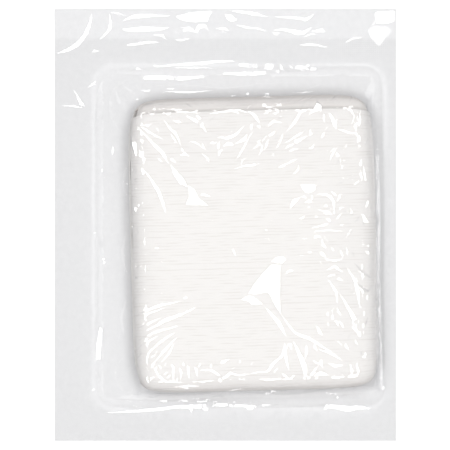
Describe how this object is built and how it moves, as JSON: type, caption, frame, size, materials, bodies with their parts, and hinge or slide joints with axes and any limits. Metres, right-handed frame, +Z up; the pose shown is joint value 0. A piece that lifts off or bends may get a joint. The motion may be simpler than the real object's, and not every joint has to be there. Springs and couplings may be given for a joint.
{
  "type": "sterile gauze dressing in a peel pouch",
  "caption": "Thick block of folded white gauze sealed in a flat pouch with a crumpled clear film front, a formed tray and a white paper back.",
  "frame": {"origin": "centre of the pouch's underside, on the surface that it lies on", "axes": "+Y along the pouch towards its loose peel end, +X across it with the film side up, +Z up through the gauze"},
  "size_m": [0.1552, 0.1961, 0.021],
  "materials": {
    "medical_paper": "matt white medical paper with a fine fibre",
    "clear_film": "clear glossy packing film, crumpled",
    "cotton_gauze": "bleached open-weave cotton"
  },
  "bodies": {
    "root": {"backing_paper": "medical_paper", "film_cover": "clear_film", "gauze": "cotton_gauze"}
  },
  "joints": []
}
